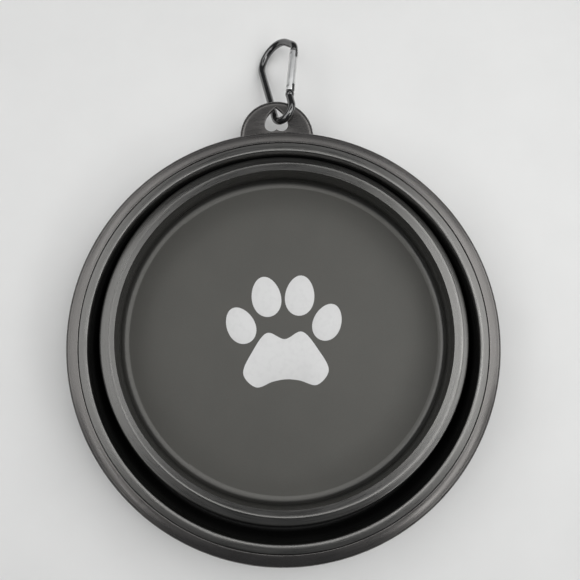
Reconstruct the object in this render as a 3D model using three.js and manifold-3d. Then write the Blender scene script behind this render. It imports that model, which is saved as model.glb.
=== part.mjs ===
// Portable folding pet bowl with a hang tab and a small carabiner, standing folded.
// Millimetres, +Z up, +Y towards the tab; the origin is the middle of the underside.
import * as THREE from 'three';
import { mergeVertices } from 'three/addons/utils/BufferGeometryUtils.js';
import Module from 'manifold-3d';

const wasm = await Module();
wasm.setup();

// Bowl, as folded
const rimRadius = 90;
const foldedHeight = 26; // floor to rim top
const roundSteps = 64; // facets round the bowl
const arcSteps = 4; // facets along a profile arc in sight
const hiddenSteps = 3; // and along one out of sight

// Widths of its rings, from the rim's edge inwards
const ringBand = 5.4; // to the seam between ring and lip
const lipBand = 3.6; // to the inside of the upper wall
const grooveWidth = 3; // to the outside of the folded web
const crestWidth = 6.3; // to the inside of the lower wall
const cupWallLean = 0.8; // the lower wall leans in by this much towards the floor
const grooveClearance = 0.4; // left of the groove on the tab's side, where the cup lies nearer

// Soft wall
const wallThickness = 1.6;
const crestDrop = 6; // crest ring below the rim top
const crestPeak = 0.6; // both lands of the crest rise by this to the line between them
const crestOuterCorner = 1.2;
const crestInnerCorner = 0.6;
const crestUnderRound = 0.9;
const foldLift = 0.5; // the lower fold hangs this far off the floor
const splitGap = 0.3; // between the moulding's three lengths, at its two folds
const floorThickness = 3;
const floorFillet = 2.4;
const underEdge = 1.6; // rounding of the underside's edge

// Lip of the upper wall
const lipDrop = 0.4; // lip top below the rim top
const lipInnerRound = 1.2;
const seamClearance = 0.15; // each side of the seam line
const seamChamfer = 0.45; // both edges of that line
const tongueReach = 1.2; // lip tongue into the ring
const tongueHeight = 1.4;
const tongueDrop = 4.4; // middle of the tongue below the rim top
const fitClearance = 0.3;

// Rim ring
const ringHeight = 9.4;
const flangeThickness = 2; // under the lip
const rimCrownDrop = 0.8; // the ring's top falls this much towards its outer edge
const rimOuterRound = 1.5;
const ringDraft = 0.4; // the outer face leans in by this much at its foot
const ringFootChamfer = 0.6;

// Hang tab
const tabRadius = 16.1;
const tabOffset = 0.3; // middle of the tab's round end beyond the rim's edge
const tabDrop = 6; // tab below the rim top
const tabThickness = 2.2;
const tabEdgeWidth = 2.2; // rounded upper edge
const tabEdgeDrop = 1.4;
const tabRootDepth = 2.8; // into the ring
const tabSteps = 48;

// Carabiner rod, and the heart-shaped hole it goes through
const rodRadius = 1.65;
const rodSides = 10;
const rodSteps = 52;
const heartWeb = 2.9; // tab's edge to the hole's point
const heartLength = 8.3; // the point to the middles of the lobes
const heartShoulder = 4; // from those middles to where the sides' curves aim
const heartPlay = 1.9; // half the hole's width, beyond the rod's thickness
const heartLobeShare = 4 / 7; // of half the width

// Carabiner loop: its centre line is the hull of three circles
const eyePlay = 0.6; // inside of the eye beyond the tab's web
const loopLength = 31; // eye centre to nose centre, along
const noseRadius = 4.4;
const noseX = 4.3; // from the eye's centre
const crownRadius = 9.35;
const crownX = -2.6;
const crownLead = 0.4; // crown centre beyond the nose's
const clipX = 3.2; // eye centre, across
const clipPlay = 1.65; // eye centre inside the hole's point
const clipDrop = 0.2; // eye centre below the tab's top
const clipRoll = THREE.MathUtils.degToRad(43); // gate side up
const clipPitch = THREE.MathUtils.degToRad(17.5); // far end down

// Gate
const gateRadius = 1.95;
const gateInset = 1.9; // the gate's line passes this far inside the eye's outer bend
const gateStart = 8.5; // along that line, from abreast of the eye's centre
const noseStraight = 1.4; // gate's free end to the nose's bend
const gateSides = 20;
const gateChamfer = 0.6;
const hingeGap = 0.6; // frame shoulder to gate at the hinge
const noseGap = 0.4; // frame shoulder to gate at the nose
const tongueThickness = 1.1;
const slotClearance = 0.2; // each side of a tongue
const slotEndClearance = 0.35;
const hingeTongueRadius = 1.2;
const rivetSetback = 1.9; // gate end to rivet
const rivetRadius = 0.6;
const pinClearance = 0.1;
const pinSides = 16;
const pinInset = 0.1; // pin ends below the gate's skin
const latchSetback = 1.7; // gate end to latch pin
const latchRadius = 0.5;
const latchPlay = 0.2;
const noseTongueWidth = 2.2;
const noseHook = 1.5; // latch pin to the tongue's end
const tongueRoot = 1; // tongues run this far into the rod
const collarLength = 3.4; // the rod swells to the gate's width at the hinge
const collarFoot = 1.15; // radius of the swelling's buried end

// Gate spring
const springBore = 1.05;
const springMeanRadius = 0.68;
const springWire = 0.16; // radius
const springPitch = 0.85;
const springTurns = 7;
const springStepsPerTurn = 8;
const springSides = 5;
const springSeat = 0.35; // clear at both ends

// Derived
const halfTurn = Math.PI;
const quarterTurn = Math.PI / 2;
const foldOffset = grooveWidth - grooveClearance; // the folded cup lies this much nearer the tab
const seamRadius = rimRadius - ringBand;
const lipOuterRadius = seamRadius - seamClearance;
const ringInnerRadius = seamRadius + seamClearance;
const wallInnerRadius = seamRadius - lipBand;
const wallOuterRadius = wallInnerRadius + wallThickness;
const webOuterRadius = wallInnerRadius - grooveWidth;
const crestInnerRadius = webOuterRadius - crestWidth;
const crestLineRadius = webOuterRadius - crestWidth / 2;
const cupFootRadius = crestInnerRadius - cupWallLean;
const lipTop = foldedHeight - lipDrop;
const tongueMiddle = foldedHeight - tongueDrop;
const rimFoot = foldedHeight - ringHeight;
const flangeTop = rimFoot + flangeThickness;
const crestTop = foldedHeight - crestDrop;
const crestLand = crestTop - crestPeak;
const crestUnderZ = crestTop - wallThickness;
const foldInnerRound = grooveWidth / 2;
const foldOuterRound = foldInnerRound + wallThickness;
const foldCentreRadius = wallInnerRadius - foldInnerRound;
const foldCentreZ = foldLift + foldOuterRound;
const foldFloorZ = foldCentreZ - foldInnerRound;
const tabReach = rimRadius + tabOffset;
const tabTop = foldedHeight - tabDrop;
const heartApex = tabRadius - heartWeb; // from the tab's middle
const heartLobeHeight = heartApex - heartLength;
const heartHalfWidth = 2 * rodRadius + heartPlay;
const heartLobeRadius = heartLobeShare * heartHalfWidth;
const eyeRadius = rodRadius + heartWeb + eyePlay;
const clipReach = tabReach + heartApex - clipPlay; // eye centre from the rim's axis
const clipZ = tabTop - clipDrop;

// Helpers
const point = (x, y) => new THREE.Vector2(x, y);

function arc(x, y, radius, from, to, steps = arcSteps) {
  const points = [];
  for (let i = 0; i <= steps; i += 1) {
    const angle = from + ((to - from) * i) / steps;
    points.push(point(x + radius * Math.cos(angle), y + radius * Math.sin(angle)));
  }
  return points;
}

// A turned solid about Y from an anticlockwise profile
function turned(profile, steps) {
  return new THREE.LatheGeometry([...profile, profile[0]], steps);
}

// A turned solid standing about Z
const stood = (profile, steps) => turned(profile, steps).rotateX(quarterTurn);

function solid(geometry) {
  const bare = new THREE.BufferGeometry();
  bare.setAttribute('position', geometry.getAttribute('position'));
  if (geometry.index) bare.setIndex(geometry.index);
  const merged = mergeVertices(bare, 1e-4);
  const corners = merged.index.array;
  const kept = [];
  for (let i = 0; i < corners.length; i += 3) {
    const [a, b, c] = [corners[i], corners[i + 1], corners[i + 2]];
    if (a !== b && b !== c && c !== a) kept.push(a, b, c);
  }
  const vertProperties = Float32Array.from(merged.getAttribute('position').array);
  const triVerts = Uint32Array.from(kept);
  return new wasm.Manifold(new wasm.Mesh({ numProp: 3, vertProperties, triVerts }));
}

function geometryOf(body) {
  const { vertProperties, triVerts } = body.getMesh();
  const geometry = new THREE.BufferGeometry();
  geometry.setAttribute('position', new THREE.BufferAttribute(Float32Array.from(vertProperties), 3));
  geometry.setIndex(Array.from(triVerts));
  return geometry;
}

const part = new THREE.Group();
part.name = 'portable_pet_bowl';

function add(name, body, material, placing) {
  const geometry = geometryOf(body);
  if (placing) geometry.applyMatrix4(placing);
  geometry.computeVertexNormals();
  const mesh = new THREE.Mesh(geometry, material);
  mesh.name = name;
  part.add(mesh);
}

const look = (color, roughness, metalness = 0) =>
  new THREE.MeshStandardMaterial({ color, roughness, metalness });
const hardBlack = look(0x3a3838, 0.45);
const softBlack = look(0x2b2c2b, 0.62);
const blackMetal = look(0x101211, 0.3, 0.6);
const bareMetal = look(0xb9bab8, 0.35, 1);
const springSteel = look(0x8d8f90, 0.4, 1);

// Rim ring with its tab
function ringProfile() {
  const groove = tongueHeight / 2 + fitClearance;
  const grooveRadius = ringInnerRadius + tongueReach;
  const crownEnd = rimRadius - rimOuterRound;
  const shoulderZ = foldedHeight - rimCrownDrop - rimOuterRound;
  return [
    point(wallOuterRadius + fitClearance, rimFoot),
    point(rimRadius - ringDraft - ringFootChamfer, rimFoot),
    point(rimRadius - ringDraft, rimFoot + ringFootChamfer),
    ...arc(crownEnd, shoulderZ, rimOuterRound, 0, quarterTurn),
    point(ringInnerRadius + seamChamfer, foldedHeight),
    point(ringInnerRadius, foldedHeight - seamChamfer),
    point(ringInnerRadius, tongueMiddle + groove),
    point(grooveRadius, tongueMiddle + groove),
    point(grooveRadius, tongueMiddle - groove),
    point(ringInnerRadius, tongueMiddle - groove),
    point(ringInnerRadius, flangeTop),
    point(wallOuterRadius + fitClearance, flangeTop),
  ];
}

// The hole: two lobes towards the bowl and a point outwards
function heartShape() {
  const lobeX = heartHalfWidth - heartLobeRadius;
  const notch = Math.acos(lobeX / heartLobeRadius);
  const shoulder = heartLobeHeight + heartShoulder;
  const shape = new THREE.Shape();
  shape.absarc(lobeX, heartLobeHeight, heartLobeRadius, notch - halfTurn, 0, false);
  shape.quadraticCurveTo(heartHalfWidth, shoulder, 0, heartApex);
  shape.quadraticCurveTo(-heartHalfWidth, shoulder, -heartHalfWidth, heartLobeHeight);
  shape.absarc(-lobeX, heartLobeHeight, heartLobeRadius, halfTurn, 2 * halfTurn - notch, false);
  return shape;
}

function tabBody() {
  const foot = tabTop - tabThickness;
  const profile = [point(0, foot), point(tabRadius, foot)];
  for (let i = 0; i <= arcSteps; i += 1) {
    const angle = (quarterTurn * i) / arcSteps;
    const radius = tabRadius - tabEdgeWidth * (1 - Math.cos(angle));
    profile.push(point(radius, tabTop - tabEdgeDrop * (1 - Math.sin(angle))));
  }
  profile.push(point(0, tabTop));
  const disc = solid(stood(profile, tabSteps).translate(0, tabReach, 0));
  const root = rimRadius - tabRootDepth;
  const cutter = [point(0, 0), point(root, 0), point(root, foldedHeight), point(0, foldedHeight)];
  const heart = new THREE.ExtrudeGeometry(heartShape(), {
    depth: foldedHeight,
    bevelEnabled: false,
    curveSegments: 8,
  });
  heart.translate(0, tabReach, 0);
  return disc.subtract(solid(stood(cutter, roundSteps))).subtract(solid(heart));
}

const onRim = new THREE.Matrix4().makeTranslation(0, -foldOffset, 0);
const rimRing = solid(stood(ringProfile(), roundSteps)).add(tabBody());
add('rim_ring', rimRing, hardBlack, onRim);

// Soft moulding, in the three lengths its folds divide it into
function upperWallProfile() {
  const tongueFoot = tongueMiddle - tongueHeight / 2;
  const tongueHead = tongueMiddle + tongueHeight / 2;
  const tongueRadius = lipOuterRadius + tongueReach;
  const beadFoot = flangeTop + fitClearance;
  const cut = splitGap / 2 / foldInnerRound;
  const outerCut = splitGap / 2 / foldOuterRound;
  return [
    ...arc(foldCentreRadius, foldCentreZ, foldOuterRound, outerCut - quarterTurn, 0, hiddenSteps),
    point(wallOuterRadius, beadFoot),
    point(lipOuterRadius, beadFoot),
    point(lipOuterRadius, tongueFoot),
    point(tongueRadius, tongueFoot),
    point(tongueRadius, tongueHead),
    point(lipOuterRadius, tongueHead),
    point(lipOuterRadius, lipTop - seamChamfer),
    point(lipOuterRadius - seamChamfer, lipTop),
    ...arc(wallInnerRadius + lipInnerRound, lipTop - lipInnerRound, lipInnerRound, quarterTurn, halfTurn),
    ...arc(foldCentreRadius, foldCentreZ, foldInnerRound, 0, cut - quarterTurn, hiddenSteps),
  ];
}

function webProfile() {
  const foldCut = splitGap / 2 / foldInnerRound;
  const foldOuterCut = splitGap / 2 / foldOuterRound;
  const foldDown = -quarterTurn;
  const corner = crestOuterCorner;
  const edge = crestLineRadius + splitGap / 2;
  const inside = webOuterRadius - wallThickness;
  const underZ = crestUnderZ - crestUnderRound;
  return [
    ...arc(foldCentreRadius, foldCentreZ, foldOuterRound, -halfTurn, foldDown - foldOuterCut, hiddenSteps),
    ...arc(foldCentreRadius, foldCentreZ, foldInnerRound, foldDown - foldCut, -halfTurn, hiddenSteps),
    ...arc(webOuterRadius - corner, crestLand - corner, corner, 0, quarterTurn),
    point(edge, crestTop),
    point(edge, crestUnderZ),
    ...arc(inside - crestUnderRound, underZ, crestUnderRound, quarterTurn, 0, hiddenSteps),
  ];
}

function cupProfile() {
  const corner = crestInnerCorner;
  const edge = crestLineRadius - splitGap / 2;
  const outside = crestInnerRadius + wallThickness;
  const underRadius = cupFootRadius + wallThickness;
  const underZ = crestUnderZ - crestUnderRound;
  return [
    point(0, 0),
    ...arc(underRadius - underEdge, underEdge, underEdge, -quarterTurn, 0, hiddenSteps),
    ...arc(outside + crestUnderRound, underZ, crestUnderRound, halfTurn, quarterTurn, hiddenSteps),
    point(edge, crestUnderZ),
    point(edge, crestTop),
    ...arc(crestInnerRadius + corner, crestLand - corner, corner, quarterTurn, halfTurn),
    ...arc(cupFootRadius - floorFillet, floorThickness + floorFillet, floorFillet, 0, -quarterTurn),
    point(0, floorThickness),
  ];
}

// The web's lower end stays with the rim, its upper end with the cup
function shiftWeb(geometry) {
  const place = geometry.getAttribute('position');
  for (let i = 0; i < place.count; i += 1) {
    const share = 1 - THREE.MathUtils.smoothstep(place.getZ(i), foldFloorZ, crestUnderZ);
    place.setY(i, place.getY(i) - foldOffset * share);
  }
  return geometry;
}

add('upper_wall', solid(stood(upperWallProfile(), roundSteps)), softBlack, onRim);
add('folding_web', solid(shiftWeb(stood(webProfile(), roundSteps))), softBlack);
add('lower_cup', solid(stood(cupProfile(), roundSteps)), softBlack);

// Carabiner, drawn flat about its eye and then laid through the tab
const circle = (x, y, radius) => ({ x, y, radius });
const eye = circle(0, 0, eyeRadius);
const nose = circle(noseX, loopLength, noseRadius);
const crown = circle(crownX, loopLength + crownLead, crownRadius);

// Direction from either centre to the line that touches both circles on the left of a to b
function tangent(a, b) {
  const [dx, dy] = [b.x - a.x, b.y - a.y];
  return Math.atan2(dy, dx) + Math.acos((a.radius - b.radius) / Math.hypot(dx, dy));
}

const gateFoot = circle(0, 0, eyeRadius - gateInset);
const gateSide = tangent(nose, gateFoot);
const gateLine = new THREE.Matrix4().makeRotationZ(gateSide);
gateLine.setPosition(gateFoot.radius * Math.cos(gateSide), gateFoot.radius * Math.sin(gateSide), 0);
const gateSpan = Math.sqrt(noseX ** 2 + loopLength ** 2 - (gateFoot.radius - noseRadius) ** 2);
const gateEnd = gateSpan - noseStraight;
const rivetAt = gateStart + rivetSetback;
const latchAt = gateEnd - latchSetback;
const along = (distance) => new THREE.Vector3(0, distance, 0).applyMatrix4(gateLine);

function rodGeometry() {
  const spineSide = tangent(eye, crown);
  const topSide = tangent(crown, nose);
  const hinge = along(gateStart - hingeGap - collarLength / 2);
  const hingeReach = Math.hypot(hinge.x, hinge.y);
  const eyeSide = Math.atan2(hinge.y, hinge.x) - Math.acos(eyeRadius / hingeReach);
  const tip = along(gateEnd + noseGap);
  const path = new THREE.Path();
  path.moveTo(hinge.x, hinge.y);
  path.lineTo(eyeRadius * Math.cos(eyeSide), eyeRadius * Math.sin(eyeSide));
  path.absarc(eye.x, eye.y, eye.radius, eyeSide, spineSide, true);
  path.absarc(crown.x, crown.y, crown.radius, spineSide, topSide, true);
  path.absarc(nose.x, nose.y, nose.radius, topSide, gateSide, true);
  path.lineTo(tip.x, tip.y);
  const way = path.getSpacedPoints(rodSteps).map((p) => new THREE.Vector3(p.x, p.y, 0));
  const section = new THREE.Shape();
  section.absarc(0, 0, rodRadius, 0, 2 * halfTurn, false);
  return new THREE.ExtrudeGeometry(section, {
    steps: rodSteps,
    curveSegments: rodSides,
    extrudePath: new THREE.CatmullRomCurve3(way),
  });
}

// A flat plate in the gate's frame, centred on the plane of the loop
function plate(shape, thickness) {
  const options = { depth: thickness, bevelEnabled: false, curveSegments: pinSides / 2 };
  return new THREE.ExtrudeGeometry(shape, options).translate(0, 0, -thickness / 2);
}

function block(xFrom, xTo, yFrom, yTo, thickness) {
  const size = new THREE.BoxGeometry(xTo - xFrom, yTo - yFrom, thickness);
  return solid(size.translate((xFrom + xTo) / 2, (yFrom + yTo) / 2, 0));
}

// A pin across the gate at a distance along it
function pin(radius, distance, length) {
  const rod = new THREE.CylinderGeometry(radius, radius, length, pinSides);
  return solid(rod.rotateX(quarterTurn).translate(0, distance, 0));
}

function hingeTongue() {
  const shape = new THREE.Shape();
  shape.moveTo(-hingeTongueRadius, gateStart - hingeGap - tongueRoot);
  shape.lineTo(hingeTongueRadius, gateStart - hingeGap - tongueRoot);
  shape.absarc(0, rivetAt, hingeTongueRadius, 0, halfTurn, false);
  const bore = pin(rivetRadius + pinClearance, rivetAt, 2 * tongueThickness);
  return solid(plate(shape, tongueThickness)).subtract(bore);
}

function noseTongue() {
  const half = noseTongueWidth / 2;
  const root = gateEnd + noseGap + tongueRoot;
  const blade = block(-half, half, latchAt - noseHook, root, tongueThickness);
  const play = latchRadius + latchPlay;
  const notch = block(-noseTongueWidth, 0, latchAt - play, latchAt + play, 2 * tongueThickness);
  return blade.subtract(notch).subtract(pin(play, latchAt, 2 * tongueThickness));
}

// The rod's swollen end at the hinge
function hingeCollar() {
  const end = gateStart - hingeGap;
  const start = end - collarLength;
  const belly = end - collarLength / 3;
  const profile = [
    point(0, start),
    point(collarFoot, start),
    point(gateRadius, belly),
    point(gateRadius, end),
    point(0, end),
  ];
  return solid(turned(profile, gateSides));
}

function moved(body, matrix) {
  return solid(geometryOf(body).applyMatrix4(matrix));
}

function gateBody() {
  const inner = gateRadius - gateChamfer;
  const profile = [
    point(0, gateStart),
    point(inner, gateStart),
    point(gateRadius, gateStart + gateChamfer),
    point(gateRadius, gateEnd - gateChamfer),
    point(inner, gateEnd),
    point(0, gateEnd),
  ];
  const slot = tongueThickness + 2 * slotClearance;
  const wide = 2 * gateRadius;
  const hingeSlotEnd = rivetAt + hingeTongueRadius + slotEndClearance;
  const noseSlotEnd = latchAt - noseHook - slotEndClearance;
  const boreLength = springTurns * springPitch + 2 * (springWire + springSeat);
  const bore = new THREE.CylinderGeometry(springBore, springBore, 2 * boreLength, pinSides);
  return solid(turned(profile, gateSides))
    .subtract(block(-wide, wide, gateStart - wide, hingeSlotEnd, slot))
    .subtract(block(-wide, wide, noseSlotEnd, gateEnd + wide, slot))
    .subtract(solid(bore.translate(0, hingeSlotEnd, 0)))
    .subtract(pin(rivetRadius + pinClearance, rivetAt, 2 * wide))
    .subtract(pin(latchRadius + pinClearance, latchAt, 2 * wide));
}

// The spring: one coil in the gate's bore, pressing on the hinge tongue
function springBody() {
  const start = rivetAt + hingeTongueRadius + slotEndClearance + springSeat + springWire;
  const way = [];
  for (let i = 0; i <= springTurns * springStepsPerTurn; i += 1) {
    const turns = i / springStepsPerTurn;
    const angle = turns * 2 * halfTurn;
    const [x, z] = [springMeanRadius * Math.cos(angle), springMeanRadius * Math.sin(angle)];
    way.push(new THREE.Vector3(x, start + turns * springPitch, z));
  }
  let least = Infinity;
  for (let i = 0; i < way.length; i += 1) {
    for (let j = i + springStepsPerTurn / 2; j < way.length; j += 1) {
      least = Math.min(least, way[i].distanceTo(way[j]) - 2 * springWire);
    }
  }
  console.log(`gate spring: least gap between curls ${least.toFixed(2)} mm`);
  const section = new THREE.Shape();
  section.absarc(0, 0, springWire, 0, 2 * halfTurn, false);
  return solid(
    new THREE.ExtrudeGeometry(section, {
      steps: way.length - 1,
      curveSegments: springSides,
      extrudePath: new THREE.CatmullRomCurve3(way),
    }),
  );
}

const laid = new THREE.Matrix4().makeRotationX(-clipPitch);
laid.multiply(new THREE.Matrix4().makeRotationY(-clipRoll));
laid.setPosition(clipX, clipReach - foldOffset, clipZ);
const laidGate = laid.clone().multiply(gateLine);

const hingeEnd = moved(hingeCollar().add(hingeTongue()), gateLine);
const noseEnd = moved(noseTongue(), gateLine);
add('carabiner_frame', solid(rodGeometry()).add(hingeEnd).add(noseEnd), blackMetal, laid);
add('carabiner_gate', gateBody(), bareMetal, laidGate);
const pinLength = 2 * (gateRadius - pinInset);
add('gate_hinge_rivet', pin(rivetRadius, rivetAt, pinLength), bareMetal, laidGate);
add('gate_latch_pin', pin(latchRadius, latchAt, pinLength), bareMetal, laidGate);
add('gate_spring', springBody(), springSteel, laidGate);

export default part;
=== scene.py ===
from math import acos, atan2, cos, degrees, hypot, pi, radians, sin, sqrt, tan

import bmesh
import bpy
from mathutils import Matrix, Vector


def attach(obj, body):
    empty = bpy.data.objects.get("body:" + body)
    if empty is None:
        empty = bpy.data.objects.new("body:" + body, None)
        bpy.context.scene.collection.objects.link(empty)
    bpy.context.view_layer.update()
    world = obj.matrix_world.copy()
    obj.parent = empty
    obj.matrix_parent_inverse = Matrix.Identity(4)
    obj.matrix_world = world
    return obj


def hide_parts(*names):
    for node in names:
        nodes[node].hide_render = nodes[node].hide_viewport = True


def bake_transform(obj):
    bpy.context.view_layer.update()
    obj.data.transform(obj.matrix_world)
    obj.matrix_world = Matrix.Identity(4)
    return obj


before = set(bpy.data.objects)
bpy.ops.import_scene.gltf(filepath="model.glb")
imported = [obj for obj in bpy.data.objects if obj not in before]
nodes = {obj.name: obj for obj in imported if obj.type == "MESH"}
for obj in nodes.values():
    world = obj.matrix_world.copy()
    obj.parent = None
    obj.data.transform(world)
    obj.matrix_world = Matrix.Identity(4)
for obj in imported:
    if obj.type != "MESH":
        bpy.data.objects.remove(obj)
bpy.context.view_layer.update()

scene = bpy.context.scene
mm = 0.001
print("frame loaded:", ", ".join(sorted(nodes)))

# sizes shared by the soft moulding and the rim, in millimetres
bowl = {
    "facets": 192,
    "offset": 2.6,  # folded, the cup lies this much nearer the tab than the rim does
    "rimRadius": 90.0,
    "height": 26.0,
    "wall": 1.6,
    "wallInner": 81.0,
    "webOuter": 78.0,
    "crestInner": 71.7,
    "crestUnder": 18.4,
    "foldFloor": 2.1,
    "hairline": 0.02,  # half the fine gap left where two lengths of the moulding meet
}

meshing = {
    "axisRadius": 1e-6,  # millimetres: a ring smaller than this is one point
    "near": 1e-7,  # metres: points closer than this are joined
    "nearAfterCuts": 2e-6,
    "sharp": 35.0,  # degrees: edges that turn more than this stay sharp
    "sharpRound": 40.0,
    "parallel": 1e-9,  # a spoke and a side that cross less than this don't meet
    "overlap": 1e-6,  # share by which a spoke may miss the end of a side
}


def arcPoints(x, z, radius, start, stop, steps):
    angles = [radians(start + (stop - start) * i / steps) for i in range(steps + 1)]
    return [(x + radius * cos(a), z + radius * sin(a)) for a in angles]


# the points between two ends, which are left out
def linePoints(a, b, steps):
    shares = [i / steps for i in range(1, steps)]
    return [(a[0] + (b[0] - a[0]) * s, a[1] + (b[1] - a[1]) * s) for s in shares]


def easeShare(share):
    return share * share * (3 - 2 * share)


def dropSlivers(mesh, near):
    bmesh.ops.remove_doubles(mesh, verts=mesh.verts, dist=near)
    bmesh.ops.dissolve_degenerate(mesh, edges=mesh.edges, dist=near)


def shadeSmooth(data, sharp):
    data.shade_smooth()
    data.set_sharp_from_angle(angle=radians(sharp))


def meshData(name, mesh):
    bmesh.ops.recalc_face_normals(mesh, faces=mesh.faces)
    data = bpy.data.meshes.new(name)
    mesh.to_mesh(data)
    mesh.free()
    return data


def newObject(name, data):
    item = bpy.data.objects.new(name, data)
    scene.collection.objects.link(item)
    return item


def newPiece(name, mesh, finish, sharp=meshing["sharp"]):
    dropSlivers(mesh, meshing["near"])
    data = meshData(name, mesh)
    shadeSmooth(data, sharp)
    data.materials.append(finish)
    return newObject(name, data)


# gives some of a piece's faces a further finish
def useFinish(piece, finish, wanted):
    piece.data.materials.append(finish)
    for face in piece.data.polygons:
        if wanted(face):
            face.material_index = len(piece.data.materials) - 1


def joinRows(mesh, lower, upper):
    count = len(lower)
    for k in range(count):
        after = (k + 1) % count
        corners = list(dict.fromkeys([lower[k], lower[after], upper[after], upper[k]]))
        if len(corners) > 2:
            mesh.faces.new(corners)


def joinAll(mesh, rows, closed):
    for lower, upper in zip(rows, rows[1:] + rows[:1] if closed else rows[1:]):
        joinRows(mesh, lower, upper)


# turns a closed profile of (radius, height) about the bowl's axis
def turnProfile(mesh, profile, steps, place):
    rows = []
    angles = [2 * pi * k / steps for k in range(steps)]
    for radius, height in profile:
        if radius < meshing["axisRadius"]:
            rows.append([mesh.verts.new(place(0.0, 0.0, height))] * steps)
            continue
        rows.append([mesh.verts.new(place(radius * cos(a), radius * sin(a), height)) for a in angles])
    joinAll(mesh, rows, True)


def onCup(x, y, z):
    return Vector((x, y, z)) * mm


def onRim(x, y, z):
    return Vector((x, y - bowl["offset"], z)) * mm


# finishes: a noise is (scale per metre, detail, roughness), a bump is (height in metres, strength),
# and a span is the part of a noise that a range of colours or roughness is laid over

def startFinish(name, metallic=0.0):
    finish = bpy.data.materials.new(name)
    finish.use_nodes = True
    tree = finish.node_tree
    shader = tree.nodes["Principled BSDF"]
    shader.inputs["Metallic"].default_value = metallic
    return finish, tree, shader


def addNode(tree, kind, values=None, **options):
    node = tree.nodes.new(kind)
    for key, value in options.items():
        setattr(node, key, value)
    for key, value in (values or {}).items():
        node.inputs[key].default_value = value
    return node


def addPlace(tree, stretch=(1.0, 1.0, 1.0)):
    place = addNode(tree, "ShaderNodeTexCoord")
    mapping = addNode(tree, "ShaderNodeMapping", {"Scale": stretch})
    tree.links.new(place.outputs["Object"], mapping.inputs["Vector"])
    return mapping.outputs["Vector"]


def addRadius(tree):
    place = addNode(tree, "ShaderNodeTexCoord")
    flat = addNode(tree, "ShaderNodeVectorMath", operation="MULTIPLY")
    tree.links.new(place.outputs["Object"], flat.inputs[0])
    flat.inputs[1].default_value = (1.0, 1.0, 0.0)
    radius = addNode(tree, "ShaderNodeVectorMath", operation="LENGTH")
    tree.links.new(flat.outputs["Vector"], radius.inputs[0])
    return radius.outputs["Value"]


# radius and turn about the bowl's axis, for marks that run round it
def addRoundPlace(tree, across, along):
    place = addNode(tree, "ShaderNodeTexCoord")
    parts = addNode(tree, "ShaderNodeSeparateXYZ")
    tree.links.new(place.outputs["Object"], parts.inputs["Vector"])
    turn = addNode(tree, "ShaderNodeMath", operation="ARCTAN2")
    tree.links.new(parts.outputs["Y"], turn.inputs[0])
    tree.links.new(parts.outputs["X"], turn.inputs[1])
    rounded = addNode(tree, "ShaderNodeCombineXYZ")
    tree.links.new(addRadius(tree), rounded.inputs["X"])
    tree.links.new(turn.outputs["Value"], rounded.inputs["Y"])
    tree.links.new(parts.outputs["Z"], rounded.inputs["Z"])
    mapping = addNode(tree, "ShaderNodeMapping", {"Scale": (across, along, across)})
    tree.links.new(rounded.outputs["Vector"], mapping.inputs["Vector"])
    return mapping.outputs["Vector"]


def addNoise(tree, place, scale, detail, roughness=0.55):
    numbers = {"Scale": scale, "Detail": detail, "Roughness": roughness}
    noise = addNode(tree, "ShaderNodeTexNoise", numbers)
    tree.links.new(place, noise.inputs["Vector"])
    return noise.outputs["Fac"]


def addRange(tree, value, span, result):
    numbers = {"From Min": span[0], "From Max": span[1], "To Min": result[0], "To Max": result[1]}
    spread = addNode(tree, "ShaderNodeMapRange", numbers)
    tree.links.new(value, spread.inputs["Value"])
    return spread.outputs["Result"]


def addColours(tree, value, span, colours):
    ramp = addNode(tree, "ShaderNodeValToRGB")
    for stop, position, colour in zip(ramp.color_ramp.elements, span, colours):
        stop.position = position
        stop.color = (*colour, 1.0)
    tree.links.new(value, ramp.inputs["Fac"])
    return ramp.outputs["Color"]


mixSockets = {"RGBA": (6, 7, 2), "FLOAT": (2, 3, 0)}  # low, high and result of a mix node


# high is a socket or a plain colour
def addMix(tree, kind, value, low, high):
    lowAt, highAt, resultAt = mixSockets[kind]
    mix = addNode(tree, "ShaderNodeMix", data_type=kind)
    tree.links.new(value, mix.inputs[0])
    tree.links.new(low, mix.inputs[lowAt])
    if isinstance(high, tuple):
        mix.inputs[highAt].default_value = (*high, 1.0)
    else:
        tree.links.new(high, mix.inputs[highAt])
    return mix.outputs[resultAt]


def addBump(tree, shader, heights):
    normal = None
    for height, (distance, strength) in heights:
        bump = addNode(tree, "ShaderNodeBump", {"Strength": strength, "Distance": distance})
        tree.links.new(height, bump.inputs["Height"])
        if normal:
            tree.links.new(normal, bump.inputs["Normal"])
        normal = bump.outputs["Normal"]
    tree.links.new(normal, shader.inputs["Normal"])


def linkFinish(tree, shader, colour, roughness):
    tree.links.new(colour, shader.inputs["Base Color"])
    tree.links.new(roughness, shader.inputs["Roughness"])


def setGloss(shader, finish, ior):
    shader.inputs["Specular IOR Level"].default_value = finish["gloss"]
    shader.inputs["IOR"].default_value = ior
    shader.inputs["Specular Tint"].default_value = (*finish["tint"], 1.0)


dustSpeck = {
    "cells": 210.0,  # per metre
    "size": (0.027, 0.045),  # of a cell, solid and faded out
    "cellSpan": (0.90, 0.91),  # a tenth of the cells hold a speck
    "show": 0.7,
    "colour": (0.14, 0.14, 0.13),
    "bump": (0.00003, 0.4),
}


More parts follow.
